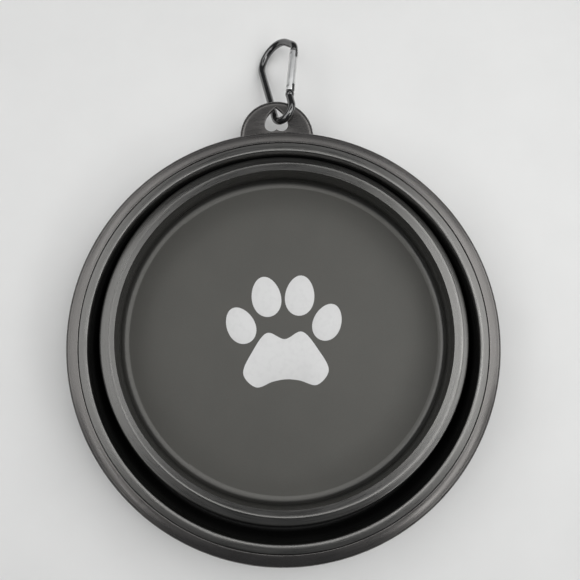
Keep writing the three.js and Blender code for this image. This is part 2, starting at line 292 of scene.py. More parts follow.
# pale specks of dust: one small dot in a few of the cells
def addDust(tree, place):
    spots = addNode(tree, "ShaderNodeTexVoronoi", {"Scale": dustSpeck["cells"], "Randomness": 1.0})
    tree.links.new(place, spots.inputs["Vector"])
    dot = addRange(tree, spots.outputs["Distance"], dustSpeck["size"], (1.0, 0.0))
    pick = addNode(tree, "ShaderNodeSeparateColor")
    tree.links.new(spots.outputs["Color"], pick.inputs["Color"])
    chosen = addRange(tree, pick.outputs["Red"], dustSpeck["cellSpan"], (0.0, 1.0))
    both = addNode(tree, "ShaderNodeMath", operation="MULTIPLY")
    tree.links.new(dot, both.inputs[0])
    tree.links.new(chosen, both.inputs[1])
    return both.outputs["Value"]


softFinish = {
    "wall": ((0.0075, 0.0078, 0.0075), (0.0110, 0.0112, 0.0106)),
    "floor": ((0.0222, 0.0218, 0.0174), (0.0268, 0.0262, 0.0211)),
    "colourSpan": (0.35, 0.68),
    "wallRoughness": (0.25, 0.34),
    "floorRoughness": (0.54, 0.64),
    "roughSpan": (0.3, 0.7),
    "floorEdge": (0.0700, 0.0715),  # the matt floor ends in its fillet
    "gloss": 1.0,
    "wallIor": 1.65,
    "floorIor": 1.5,
    "tint": (1.0, 0.985, 0.95),
    "cloud": (55.0, 4.0),
    "streakPlace": (1400.0, 5.0),  # fine across, long along the turn
    "streak": (1.0, 2.0),
    "grain": (2600.0, 2.0),  # fine moulded texture
    "grainBump": (0.00003, 0.30),
    "streakBump": (0.00001, 0.05),
}


def makeSoftBlack(name, ior):
    s = softFinish
    finish, tree, shader = startFinish(name)
    setGloss(shader, s, ior)
    place = addPlace(tree)
    cloud = addNoise(tree, place, *s["cloud"])
    streak = addNoise(tree, addRoundPlace(tree, *s["streakPlace"]), *s["streak"])
    grain = addNoise(tree, place, *s["grain"])
    dust = addDust(tree, place)
    outside = addRange(tree, addRadius(tree), s["floorEdge"], (0.0, 1.0))
    wall = addColours(tree, cloud, s["colourSpan"], s["wall"])
    floor = addColours(tree, cloud, s["colourSpan"], s["floor"])
    faint = addRange(tree, dust, (0.0, 1.0), (0.0, dustSpeck["show"]))
    clean = addMix(tree, "RGBA", outside, floor, wall)
    colour = addMix(tree, "RGBA", faint, clean, dustSpeck["colour"])
    wallRough = addRange(tree, streak, s["roughSpan"], s["wallRoughness"])
    floorRough = addRange(tree, grain, s["roughSpan"], s["floorRoughness"])
    linkFinish(tree, shader, colour, addMix(tree, "FLOAT", outside, floorRough, wallRough))
    heights = [(grain, s["grainBump"]), (streak, s["streakBump"]), (dust, dustSpeck["bump"])]
    addBump(tree, shader, heights)
    return finish


foldShadeFinish = {
    # these colours are painted shade: darker than the wall's, so the deep fold looks shaded
    "colours": ((0.005, 0.005, 0.0048), (0.008, 0.008, 0.0076)),
    "colourSpan": (0.35, 0.68),
    "roughness": (0.50, 0.62),
    "roughSpan": (0.3, 0.7),
    "gloss": 0.25,
    "ior": 1.45,
    "tint": (1.0, 1.0, 1.0),
    "cloud": (55.0, 4.0),
    "grain": (2600.0, 2.0),
    "grainBump": (0.00003, 0.30),
}


# matt faces of the moulding, down in the fold or out of sight while it's folded, with a colour darker than
# the wall's that is painted shade in the fold
def makeFoldShadeBlack():
    f = foldShadeFinish
    finish, tree, shader = startFinish("soft_black_fold_shade")
    setGloss(shader, f, f["ior"])
    place = addPlace(tree)
    cloud = addNoise(tree, place, *f["cloud"])
    grain = addNoise(tree, place, *f["grain"])
    colour = addColours(tree, cloud, f["colourSpan"], f["colours"])
    linkFinish(tree, shader, colour, addRange(tree, grain, f["roughSpan"], f["roughness"]))
    addBump(tree, shader, [(grain, f["grainBump"])])
    return finish


hardFinish = {
    "colours": ((0.013, 0.0126, 0.0126), (0.018, 0.0172, 0.0172)),
    "colourSpan": (0.35, 0.66),
    "roughness": (0.24, 0.33),
    "roughSpan": (0.3, 0.75),
    "gloss": 1.0,
    "ior": 1.65,
    "tint": (1.0, 0.962, 0.925),
    "cloud": (70.0, 4.0),
    "streakPlace": (900.0, 7.0),
    "streak": (1.0, 3.0),
    "grain": (3400.0, 2.0),
    "scuff": (0.06, 0.058, 0.056),
    "scuffSpan": (0.70, 0.82),
    "scuffShow": 0.45,
    "grainBump": (0.00002, 0.3),
    "streakBump": (0.00001, 0.2),
}


def makeHardBlack():
    h = hardFinish
    finish, tree, shader = startFinish("hard_black")
    setGloss(shader, h, h["ior"])
    place = addPlace(tree)
    cloud = addNoise(tree, place, *h["cloud"])
    streak = addNoise(tree, addRoundPlace(tree, *h["streakPlace"]), *h["streak"])
    grain = addNoise(tree, place, *h["grain"])
    clean = addColours(tree, cloud, h["colourSpan"], h["colours"])
    scuff = addRange(tree, streak, h["scuffSpan"], (0.0, h["scuffShow"]))
    colour = addMix(tree, "RGBA", scuff, clean, h["scuff"])
    linkFinish(tree, shader, colour, addRange(tree, streak, h["roughSpan"], h["roughness"]))
    addBump(tree, shader, [(grain, h["grainBump"]), (streak, h["streakBump"])])
    return finish


inkFinish = {
    "colours": ((0.63, 0.63, 0.625), (0.665, 0.665, 0.66)),  # thin ink and full ink
    "colourSpan": (0.30, 0.52),
    "roughness": (0.48, 0.60),
    "roughSpan": (0.3, 0.7),
    "cloud": (420.0, 5.0),
    "screen": (2400.0, 2.0),
    "screenBump": (0.00002, 0.4),
}


def makeInk():
    k = inkFinish
    finish, tree, shader = startFinish("white_ink")
    place = addPlace(tree)
    cloud = addNoise(tree, place, *k["cloud"])
    screen = addNoise(tree, place, *k["screen"])
    colour = addColours(tree, cloud, k["colourSpan"], k["colours"])
    linkFinish(tree, shader, colour, addRange(tree, screen, k["roughSpan"], k["roughness"]))
    addBump(tree, shader, [(screen, k["screenBump"])])
    return finish


rodFinish = {
    "colours": ((0.006, 0.006, 0.006), (0.018, 0.018, 0.018)),  # paint, and where it's worn
    "colourSpan": (0.48, 0.74),
    "roughness": (0.11, 0.20),
    "roughSpan": (0.35, 0.7),
    "gloss": 1.0,
    "ior": 1.6,
    "tint": (1.0, 1.0, 1.0),
    "coatWeight": 0.4,
    "coatRoughness": 0.08,
    "rub": (900.0, 5.0, 0.65),
    "dimple": (2800.0, 1.0),
    "dimpleBump": (0.00002, 0.25),
}


def makeRodBlack():
    r = rodFinish
    finish, tree, shader = startFinish("gloss_black_rod")
    setGloss(shader, r, r["ior"])
    shader.inputs["Coat Weight"].default_value = r["coatWeight"]
    shader.inputs["Coat Roughness"].default_value = r["coatRoughness"]
    place = addPlace(tree)
    rub = addNoise(tree, place, *r["rub"])
    dimple = addNoise(tree, place, *r["dimple"])
    colour = addColours(tree, rub, r["colourSpan"], r["colours"])
    linkFinish(tree, shader, colour, addRange(tree, rub, r["roughSpan"], r["roughness"]))
    addBump(tree, shader, [(dimple, r["dimpleBump"])])
    return finish


metalFinish = {
    "gate": {
        "colours": ((0.78, 0.785, 0.78), (0.90, 0.905, 0.90)),
        "roughness": (0.40, 0.54),
        "stretch": (5200.0, 260.0, 5200.0),  # drawn along its own Y
    },
    "steel": {
        "colours": ((0.36, 0.36, 0.36), (0.56, 0.56, 0.56)),
        "roughness": (0.24, 0.40),
        "stretch": (3800.0, 3800.0, 3800.0),
    },
    "colourSpan": (0.32, 0.66),
    "roughSpan": (0.3, 0.7),
    "draw": (1.0, 4.0, 0.6),
    "cloud": (500.0, 3.0),
    "drawBump": (0.00001, 0.25),
}


def makeBareMetal(name, key):
    m, own = metalFinish, metalFinish[key]
    finish, tree, shader = startFinish(name, 1.0)
    draw = addNoise(tree, addPlace(tree, own["stretch"]), *m["draw"])
    cloud = addNoise(tree, addPlace(tree), *m["cloud"])
    colour = addColours(tree, draw, m["colourSpan"], own["colours"])
    linkFinish(tree, shader, colour, addRange(tree, cloud, m["roughSpan"], own["roughness"]))
    addBump(tree, shader, [(draw, m["drawBump"])])
    return finish


softBlack = makeSoftBlack("soft_black", softFinish["wallIor"])
floorBlack = makeSoftBlack("soft_black_floor", softFinish["floorIor"])
foldShadeBlack = makeFoldShadeBlack()
hardBlack = makeHardBlack()
whiteInk = makeInk()
rodBlack = makeRodBlack()
gateMetal = makeBareMetal("drawn_gate_metal", "gate")
pinSteel = makeBareMetal("pin_steel", "steel")
print("finishes made")


# hard rim ring with its hang tab

rimRing = {
    "inner": 84.75,
    "seam": 84.72,
    "flangeInner": 82.9,
    "foot": 16.6,
    "flangeTop": 18.6,
    "draft": 0.4,
    "outerRound": 1.5,
    "crownDrop": 0.8,
    "seamRound": 0.22,
    "seamDepth": 0.9,
    "grooveDepth": 1.2,
    "grooveLow": 20.6,
    "grooveHigh": 22.6,
    "footRounds": (0.3, 0.6),  # inner and outer corner underneath
    "crownStart": 82.0,  # degrees up the outer round, where the crown begins
    "crownSteps": 8,
    "crownPower": 1.6,
}

hangTab = {
    "reach": 90.3,  # rim axis to the middle of the round end
    "radius": 16.1,
    "top": 20.0,
    "foot": 17.8,
    "edgeWidth": 2.2,
    "edgeDrop": 1.4,
    "edgeSteps": 8,
    "flatEnd": 0.5,  # a row this far inside the eased edge keeps the top's shading flat
    "footEase": ((0.0, 0.3), (0.1, 0.1), (0.3, 0.0)),  # inwards and up, at the lower edge
    "root": 87.2,
    "apex": 13.2,  # the hole, from the tab's middle
    "halfWidth": 5.2,
    "lobeRadius": 2.971,
    "lobeHeight": 4.9,
    "shoulder": 8.9,
    "heart": 7.0,  # the hole's middle, which the mesh runs out from
    "heartSteps": 39,
    "holeRound": 0.35,
    "holeSteps": 4,
    "spokes": 144,
}


def rimProfile():
    r, outer = rimRing, bowl["rimRadius"]
    top, foot = bowl["height"], rimRing["foot"]
    crownEnd = outer - r["outerRound"]
    shoulder = top - r["crownDrop"] - r["outerRound"]
    soft = r["seamRound"]
    near, far = r["footRounds"]
    profile = arcPoints(r["flangeInner"] + near, foot + near, near, 180, 270, 3)
    profile += arcPoints(outer - r["draft"] - far, foot + far, far, 270, 360, 4)
    profile += arcPoints(crownEnd, shoulder, r["outerRound"], 0, r["crownStart"], 9)
    crownFrom, crownTo = profile[-1], (r["seam"] + soft, top)
    for i in range(1, r["crownSteps"]):  # the top rises towards the seam and flattens out
        share = i / r["crownSteps"]
        lift = (1 - (1 - share) ** r["crownPower"]) * (crownTo[1] - crownFrom[1])
        profile.append((crownFrom[0] + share * (crownTo[0] - crownFrom[0]), crownFrom[1] + lift))
    profile += arcPoints(r["seam"] + soft, top - soft, soft, 90, 180, 5)
    profile += [(r["seam"], top - r["seamDepth"]), (r["inner"], top - r["seamDepth"])]
    back = r["inner"] + r["grooveDepth"]
    profile += [(r["inner"], r["grooveHigh"]), (back, r["grooveHigh"]), (back, r["grooveLow"])]
    profile += [(r["inner"], r["grooveLow"]), (r["inner"], r["flangeTop"])]
    return profile + [(r["flangeInner"], r["flangeTop"])]


def heartOutline():
    t, steps, lobe = hangTab, hangTab["heartSteps"], hangTab["lobeRadius"]
    lobeX = t["halfWidth"] - lobe
    notch = acos(lobeX / lobe)
    right = []
    for i in range(steps + 1):  # right lobe, from the notch outwards
        angle = notch - pi + (pi - notch) * i / steps
        right.append((lobeX + lobe * cos(angle), t["lobeHeight"] + lobe * sin(angle)))
    for i in range(1, steps + 1):  # right side, up to the point
        s = i / steps
        x = (1 - s) ** 2 * t["halfWidth"] + 2 * s * (1 - s) * t["halfWidth"]
        y = (1 - s) ** 2 * t["lobeHeight"] + 2 * s * (1 - s) * t["shoulder"] + s * s * t["apex"]
        right.append((x, y))
    left = [(-x, y) for x, y in reversed(right[1:-1])]
    return right + left


# where a spoke from the hole's middle meets a closed outline
def spokeHit(outline, angle):
    dx, dy, slack = sin(angle), -cos(angle), meshing["overlap"]
    best = None
    for i, (ax, ay) in enumerate(outline):
        bx, by = outline[(i + 1) % len(outline)]
        ax0, ay0, ex, ey = ax, ay - hangTab["heart"], bx - ax, by - ay
        cross = dx * ey - dy * ex
        if abs(cross) < meshing["parallel"]:
            continue
        reach = (ax0 * ey - ay0 * ex) / cross
        share = (ax0 * dy - ay0 * dx) / cross
        if reach > 0 and -slack <= share <= 1 + slack and (best is None or reach < best):
            best = reach
    return best


# where a spoke meets the tab's round end or the ring that it grows from
def tabReachOut(angle, radius):
    dx, dy = sin(angle), -cos(angle)
    start = hangTab["heart"]
    along = start * dy
    disc = -along + sqrt(along * along - start * start + radius * radius)
    ringStart = hangTab["reach"] + start
    alongRing = ringStart * dy
    inside = alongRing * alongRing - ringStart * ringStart + hangTab["root"] ** 2
    if dy < 0 and inside > 0:
        disc = min(disc, -alongRing - sqrt(inside))
    return disc


def addTab(mesh):
    t = hangTab
    outline = heartOutline()
    spokes = [2 * pi * k / t["spokes"] for k in range(t["spokes"])]
    hole = [spokeHit(outline, a) for a in spokes]
    rows = []

    def row(reaches, height):
        points = [(r * sin(a), t["heart"] - r * cos(a)) for r, a in zip(reaches, spokes)]
        rows.append([mesh.verts.new(onRim(x, y + t["reach"], height)) for x, y in points])

    def holeRow(out, height):
        row([h + out for h in hole], height)

    def edgeRow(inward, height):
        row([tabReachOut(a, t["radius"] - inward) for a in spokes], height)

    soft = t["holeRound"]
    holeRow(soft, t["foot"])
    holeRow(0.0, t["foot"] + soft)
    for i in range(t["holeSteps"] + 1):
        turn = radians(90 * i / t["holeSteps"])
        holeRow(soft * (1 - cos(turn)), t["top"] - soft * (1 - sin(turn)))
    edgeRow(t["edgeWidth"] + t["flatEnd"], t["top"])
    for i in range(t["edgeSteps"] + 1):
        turn = radians(90 - 90 * i / t["edgeSteps"])
        edgeRow(t["edgeWidth"] * (1 - cos(turn)), t["top"] - t["edgeDrop"] * (1 - sin(turn)))
    for inward, lift in t["footEase"]:
        edgeRow(inward, t["foot"] + lift)
    joinAll(mesh, rows, True)


def makeRim():
    mesh = bmesh.new()
    turnProfile(mesh, rimProfile(), bowl["facets"], onRim)
    addTab(mesh)
    piece = newPiece("rim_with_hang_tab", mesh, hardBlack, meshing["sharpRound"])
    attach(piece, "rim")
    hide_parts("rim_ring")


makeRim()
print("rim ring and hang tab made")


# soft moulding in three lengths, which meet at hairlines in its two folds

softLip = {
    "outer": 84.45,
    "seam": 84.62,
    "seamDepth": 0.9,
    "top": 25.6,
    "easeFrom": 82.5,  # the flat top eases down from here to its inner corner
    "easeTilt": 13.0,
    "innerCorner": 0.45,
    "seamRound": 0.25,
    "wave": 0.04,  # the pressed-in lip isn't quite even along the seam
    "waves": ((0.5, 9, 0.7), (0.3, 23, 2.1), (0.2, 41, 0.0)),  # height, count and start
    "waveLift": 0.4,
    "waveFrom": 82.0,
    "beadFoot": 18.9,
    "tongue": (85.65, 20.9, 22.3),
    "foldCentre": (79.5, 3.6),
    "foldRound": (1.5, 3.1),
    "foldSplit": (0.8, 0.4),  # degrees that wall and web stop short of the fold's middle
    "foldShadeTop": 19.2,  # matt below this and coloured darker as painted shade, in the fold and out of sight
    "foldFacing": 0.2,  # faces that look outwards by more than this
}

crest = {
    "line": 74.8,  # a fine raised line between two nearly flat lands
    "lineTop": 20.0,
    "flank": 0.6,  # it's steep outside and eases off inside
    "ease": 0.6,
    "lean": (0.95, 0.25),  # the soft crest isn't quite round with the cup
    "leanReach": (4.5, 3.1),  # how far in and out of the line the lean dies away
    "leanDepth": 2.0,  # below the crest's underside
    "bulge": 0.5,  # its outer edge, towards +X
    "outerLand": (19.68, 19.90),
    "outerCorner": 0.9,
    "innerLand": (20.0, 19.935),
    "innerCorner": 0.06,
    "cornerGap": 0.05,  # a row this close to the corner keeps the land's shading flat
    "flankSteps": 4,
    "easeSteps": 6,
    "underRound": 0.9,
}

cup = {
    "footInner": 72.0,
    "underRadius": 72.5,
    "floor": 3.0,
    "fillet": 3.2,
    "footLean": 0.4,  # the inside of the foot lies this much towards +X
    "footSlack": 0.01,
    "underEdge": 1.6,
    "underRings": (12.0, 36.0, 60.0),
    "floorRings": (65.0, 56.0, 44.0, 30.0, 14.0),
}


# outer land, from the corner at its edge up to the raised line
def outerLandPoints():
    c, line = crest, crest["line"]
    edge, foot = c["outerLand"]
    corner, start = c["outerCorner"], bowl["webOuter"] - c["outerCorner"]
    slope = degrees(atan2(foot - edge, start - line - c["flank"]))
    points = arcPoints(start, edge - corner, corner, 0, 90 - slope, 7)
    points += linePoints(points[-1], (line + c["flank"], foot), 5)
    rise = c["lineTop"] - foot
    for i in range(c["flankSteps"]):
        share = i / c["flankSteps"]
        points.append((line + c["flank"] * (1 - share), foot + rise * (1 - cos(pi * share)) / 2))
    return points + [(line + bowl["hairline"], c["lineTop"])]


# inner land, from the raised line in to the corner above the wall
def innerLandPoints():
    c, line = crest, crest["line"]
    edge, foot = c["innerLand"]
    corner, stop = c["innerCorner"], bowl["crestInner"] + c["innerCorner"]
    slope = degrees(atan2(foot - edge, line - c["ease"] - stop))
    rounded = arcPoints(stop, edge - corner, corner, 90 + slope, 180, 6)
    points = [(line - bowl["hairline"], c["lineTop"])]
    for i in range(1, c["easeSteps"] + 1):
        share = i / c["easeSteps"]
        points.append((line - c["ease"] * share, c["lineTop"] - (c["lineTop"] - foot) * share))
    gap, (x, z) = c["cornerGap"], rounded[0]
    last = (x + gap, z + gap * tan(radians(slope)))
    return points + linePoints(points[-1], last, 4) + [last] + rounded


# moves what lies near the raised line by the crest's lean
def leanCrest(x, y, z):
    away = hypot(x, y) - crest["line"]
    inward, outward = crest["leanReach"]
    if z < bowl["crestUnder"] - crest["leanDepth"] or away < -inward:
        return x, y
    share = max(0.0, 1 + away / inward if away < 0 else 1 - away / outward)
    return x + crest["lean"][0] * share, y + crest["lean"][1] * share


# faces low in the fold, which take the darker colour that is painted shade
def isInFoldShade(face):
    return face.center.z < softLip["foldShadeTop"] * mm


def isFoldShadeOutside(face):
    middle, normal = face.center, face.normal
    outward = middle.x * normal.x + middle.y * normal.y
    return isInFoldShade(face) and outward > softLip["foldFacing"] * hypot(middle.x, middle.y)


def lipWave(x, y):
    turn = atan2(y, x)
    return sum(high * sin(count * turn + start) for high, count, start in softLip["waves"])


def makeUpperWall():
    s = softLip
    fx, fz = s["foldCentre"]
    inner, outer = s["foldRound"]
    wallOuter = bowl["wallInner"] + bowl["wall"]
    reach, low, high = s["tongue"]
    innerSplit, outerSplit = s["foldSplit"]
    profile = arcPoints(fx, fz, outer, -90 + outerSplit, 0, 8)
    profile += linePoints((wallOuter, fz), (wallOuter, s["beadFoot"]), 6)
    profile += [(wallOuter, s["beadFoot"]), (s["outer"], s["beadFoot"]), (s["outer"], low)]
    profile += [(reach, low), (reach, high), (s["outer"], high)]
    seamFoot = s["top"] - s["seamDepth"]
    profile += [(s["outer"], seamFoot), (s["seam"], seamFoot)]
    soft = s["seamRound"]
    profile += arcPoints(s["seam"] - soft, s["top"] - soft, soft, 0, 90, 5)
    corner, tilt = s["innerCorner"], radians(s["easeTilt"])
    middle = bowl["wallInner"] + corner
    wide = s["easeFrom"] - (middle - corner * sin(tilt))
    drop = wide * tan(tilt) / 2
    profile += [(s["easeFrom"] - wide * i / 8, s["top"] - drop * (i / 8) ** 2) for i in range(8)]
    cornerHeight = s["top"] - drop - corner * cos(tilt)
    profile += arcPoints(middle, cornerHeight, corner, 90 + s["easeTilt"], 180, 6)
    profile += linePoints((bowl["wallInner"], cornerHeight), (bowl["wallInner"], fz), 10)
    profile += arcPoints(fx, fz, inner, 0, -90 + innerSplit, 8)
    mesh = bmesh.new()

    def placeLip(x, y, z):
        radius = hypot(x, y)
        if z < seamFoot or radius < s["waveFrom"]:
            return onRim(x, y, z)
        grow = 1 + s["wave"] * lipWave(x, y) / radius
        return onRim(x * grow, y * grow, z + s["waveLift"] * s["wave"] * lipWave(y, x))

    turnProfile(mesh, profile, bowl["facets"], placeLip)
    piece = newPiece("soft_upper_wall", mesh, softBlack)
    # the fold's faces get the matt finish whose darker colour is painted shade
    useFinish(piece, foldShadeBlack, isInFoldShade)
    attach(piece, "rim")
    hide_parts("upper_wall")


def makeFoldingWeb():
    fx, fz = softLip["foldCentre"]
    inner, outer = softLip["foldRound"]
    outside, inside = bowl["webOuter"], bowl["webOuter"] - bowl["wall"]
    edge, under = crest["line"] + bowl["hairline"], crest["underRound"]
    land = outerLandPoints()
    innerSplit, outerSplit = softLip["foldSplit"]
    profile = arcPoints(fx, fz, outer, -180, -90 - outerSplit, 8)
    profile += arcPoints(fx, fz, inner, -90 - innerSplit, -180, 8)
    profile += linePoints((outside, fz), land[0], 36) + land
    profile.append((edge, bowl["crestUnder"]))
    profile += arcPoints(inside - under, bowl["crestUnder"] - under, under, 90, 0, 5)
    profile += linePoints((inside, bowl["crestUnder"] - under), (inside, fz), 40)
    mesh = bmesh.new()
    low, high = bowl["foldFloor"], bowl["crestUnder"]

    def placeWeb(x, y, z):  # the lower end stays with the rim, the upper end with the cup
        share = 1 - easeShare(min(1.0, max(0.0, (z - low) / (high - low))))
        reach = max(0.0, (hypot(x, y) - crest["line"]) / (outside - crest["line"]))
        bulge = crest["bulge"] * reach * (1 - share) * max(0.0, cos(atan2(y, x))) ** 2
        x, y = leanCrest(x, y, z)
        return onCup(x + bulge, y - bowl["offset"] * share, z)

    turnProfile(mesh, profile, bowl["facets"], placeWeb)
    piece = newPiece("soft_folding_web", mesh, softBlack)
    useFinish(piece, foldShadeBlack, isInFoldShade)
    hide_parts("folding_web")
    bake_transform(piece)


def makeLowerCup():
    k, under = cup, crest["underRound"]
    edge = crest["line"] - bowl["hairline"]
    outside = bowl["crestInner"] + bowl["wall"]
    land, bend = innerLandPoints(), k["underEdge"]
    wallFoot = (k["footInner"], k["floor"] + k["fillet"])
    floorEdge = k["footInner"] - k["fillet"]
    profile = [(0.0, 0.0)] + [(r, 0.0) for r in k["underRings"]]
    profile += arcPoints(k["underRadius"] - bend, bend, bend, -90, 0, 7)
    profile += arcPoints(outside + under, bowl["crestUnder"] - under, under, 180, 90, 5)
    profile += [(edge, bowl["crestUnder"])] + land
    profile += linePoints(land[-1], wallFoot, 8)
    profile += arcPoints(floorEdge, k["floor"] + k["fillet"], k["fillet"], 0, -90, 10)
    profile += [(r, k["floor"]) for r in k["floorRings"]] + [(0.0, k["floor"])]
    mesh = bmesh.new()
    depth = bowl["crestUnder"] - k["floor"]

    def placeCup(x, y, z):
        radius, up = hypot(x, y), z - k["floor"]
        inside = up >= 0 and radius < k["footInner"] + k["footSlack"]
        share = max(0.0, 1 - up / depth) * radius / k["footInner"]
        shift = k["footLean"] * share if inside else 0.0
        x, y = leanCrest(x, y, z)
        return onCup(x + shift, y, z)

    turnProfile(mesh, profile, bowl["facets"], placeCup)
    piece = newPiece("soft_lower_cup", mesh, softBlack)
    useFinish(piece, floorBlack, lambda face: face.center.xy.length < floorEdge * mm)
    useFinish(piece, foldShadeBlack, isFoldShadeOutside)
    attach(piece, "cup")
    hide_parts("lower_cup")


makeUpperWall()
makeFoldingWeb()
makeLowerCup()
print("soft moulding made")


# plain paw print in white ink on the floor

pawPrint = {
    "centre": (0.2, -0.6),
    "film": 0.05,
    "sunk": 0.02,  # into the floor
    "edgeRound": 0.02,
    "edgeInset": 0.006,  # share of the way to the shape's middle
    "toes": [  # place, half width, half height and lean
        (-19.5, 6.5, 6.3, 8.6, 24.0),
        (-7.6, 19.0, 6.6, 9.2, 8.0),
        (7.6, 19.0, 6.6, 9.2, -8.0),
        (19.5, 6.5, 6.3, 8.6, -24.0),
    ],
    "toeTaper": 0.10,
    "toeSteps": 48,
    "pad": [  # right half
        (0.0, -0.4),
        (8.0, 2.6),
        (15.0, -6.0),
        (19.0, -15.0),
        (13.5, -21.2),
        (6.0, -19.0),
        (0.0, -18.2),
    ],
    "padSteps": 10,
}


# a smooth closed curve through the corners
def smoothLoop(corners, steps):
    count = len(corners)
    loop = []
    for i in range(count):
        points = [corners[(i + j) % count] for j in (-1, 0, 1, 2)]
        for n in range(steps):
            s = n / steps
            weights = (
                -0.5 * s + s * s - 0.5 * s ** 3,
                1 - 2.5 * s * s + 1.5 * s ** 3,
                0.5 * s + 2 * s * s - 1.5 * s ** 3,
                -0.5 * s * s + 0.5 * s ** 3,
            )
            loop.append(tuple(sum(w * p[a] for w, p in zip(weights, points)) for a in (0, 1)))
    return loop


def addFilm(mesh, loop):
    cx, cy = pawPrint["centre"]
    low, high = cup["floor"] - pawPrint["sunk"], cup["floor"] + pawPrint["film"]
    middle = [sum(p[a] for p in loop) / len(loop) for a in (0, 1)]

    def ring(height, inward):
        points = [(x - (x - middle[0]) * inward, y - (y - middle[1]) * inward) for x, y in loop]
        return [mesh.verts.new(onCup(x + cx, y + cy, height)) for x, y in points]

    edge = high - pawPrint["edgeRound"]
    rows = [ring(low, 0.0), ring(edge, 0.0), ring(high, pawPrint["edgeInset"])]
    joinAll(mesh, rows, False)
    mesh.faces.new(rows[-1])
    mesh.faces.new(list(reversed(rows[0])))


def makePawPrint():
    mesh = bmesh.new()
    pad = pawPrint["pad"]
    corners = pad + [(-x, y) for x, y in reversed(pad[1:-1])]
    addFilm(mesh, smoothLoop(corners, pawPrint["padSteps"]))
    for x, y, wide, tall, lean in pawPrint["toes"]:
        loop, tilt = [], radians(lean)
        for i in range(pawPrint["toeSteps"]):
            turn = 2 * pi * i / pawPrint["toeSteps"]
            px = wide * cos(turn) * (1 - pawPrint["toeTaper"] * sin(turn))
            py = tall * sin(turn)
            loop.append((x + px * cos(tilt) - py * sin(tilt), y + px * sin(tilt) + py * cos(tilt)))
        addFilm(mesh, loop)
    piece = newPiece("paw_print_ink", mesh, whiteInk)
    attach(piece, "cup")


makePawPrint()
print("floor print made")


# carabiner: rod bent round three circles, with a slotted gate

clip = {
    "rod": 1.65,
    "rodSides": 28,
    "step": 0.45,
    "eye": (0.0, 0.0, 5.15),
    "crown": (-2.6, 31.4, 9.35),
    "nose": (4.3, 31.0, 4.4),
    "place": (3.2, 99.25, 19.8),
    "roll": 43.0,
    "pitch": 17.5,
    "collar": 3.4,  # the rod swells to the gate's width at the hinge
    "collarFoot": 1.15,
    "collarRise": 2 / 3,  # share of its length over which it swells
    "collarSteps": 8,
    "shoulderRound": 0.35,
    "shoulderSteps": 4,
    "shoulderClear": 1.5,  # rounds in from its end, where the rod's own rows begin
    "tongue": 1.1,
    "hingeTongue": 1.2,
    "noseTongue": 1.1,
    "tongueRound": 0.12,
    "tongueRoot": 1.0,  # length inside the rod
    "tipSteps": 16,
}

gate = {
    "radius": 1.95,
    "inset": 1.9,  # its line passes this far inside the eye's outer bend
    "start": 8.5,
    "noseStraight": 1.4,
    "sides": 56,
    "endRound": 0.55,
    "slotClear": 0.2,
    "slotEnd": 0.35,
    "rivet": 1.9,
    "latch": 1.7,
    "hingeGap": 0.6,
    "noseGap": 0.4,
    "hook": 1.5,
    "latchPlay": 0.7,
    "bore": 1.05,
    "boreLength": 6.97,
    "pinHoles": (0.7, 0.6),  # rivet and latch pin
    "pinHoleLength": 8.0,
    "slotOver": 3.0,  # how far a slot's cut runs past the tube's end
    "cutSides": 40,
}


# where the outer tangent of two circles (x, y, radius) touches them
def touchAngle(a, b):
    dx, dy = b[0] - a[0], b[1] - a[1]
    return atan2(dy, dx) + acos((a[2] - b[2]) / hypot(dx, dy))


eyeRadius, noseRadius = clip["eye"][2], clip["nose"][2]
footRadius = eyeRadius - gate["inset"]
gateSide = touchAngle(clip["nose"], (0.0, 0.0, footRadius))
gateSpan = sqrt(clip["nose"][0] ** 2 + clip["nose"][1] ** 2 - (footRadius - noseRadius) ** 2)
gateEnd = gateSpan - gate["noseStraight"]
rivetAt = gate["start"] + gate["rivet"]
latchAt = gateEnd - gate["latch"]
gateFoot = Vector((footRadius * cos(gateSide), footRadius * sin(gateSide), 0.0))
gateLine = Matrix.Translation(gateFoot * mm) @ Matrix.Rotation(gateSide, 4, "Z")
lean = Matrix.Rotation(radians(-clip["pitch"]), 4, "X") @ Matrix.Rotation(radians(-clip["roll"]), 4, "Y")
laid = Matrix.Translation(Vector(clip["place"]) * mm) @ lean
laidGate = laid @ gateLine


def rodPath():
    spineSide = touchAngle(clip["eye"], clip["crown"])
    topSide = touchAngle(clip["crown"], clip["nose"])
    ahead = Vector((-sin(gateSide), cos(gateSide), 0.0))
    points = []

    def onCircle(circle, angle):
        x, y, radius = circle
        return Vector((x + radius * cos(angle), y + radius * sin(angle), 0.0))

    def straight(a, b):
        count = max(2, round((b - a).length / clip["step"]))
        points.extend(a.lerp(b, i / count) for i in range(count))

    def bend(circle, start, stop):
        while stop > start:
            stop -= 2 * pi
        count = max(4, round((start - stop) * circle[2] / clip["step"]))
        points.extend(onCircle(circle, start + (stop - start) * i / count) for i in range(count))

    hinge = gateFoot + ahead * (gate["start"] - gate["hingeGap"] - clip["collar"] / 2)
    tip = gateFoot + ahead * (gateEnd + gate["noseGap"])
    eyeSide = atan2(hinge.y, hinge.x) - acos(eyeRadius / hinge.length)
    straight(hinge, onCircle(clip["eye"], eyeSide))
    bend(clip["eye"], eyeSide, spineSide)
    straight(onCircle(clip["eye"], spineSide), onCircle(clip["crown"], spineSide))
    bend(clip["crown"], spineSide, topSide)
    straight(onCircle(clip["crown"], topSide), onCircle(clip["nose"], topSide))
    bend(clip["nose"], topSide, gateSide)
    straight(onCircle(clip["nose"], gateSide), tip)
    points.append(tip)
    return points


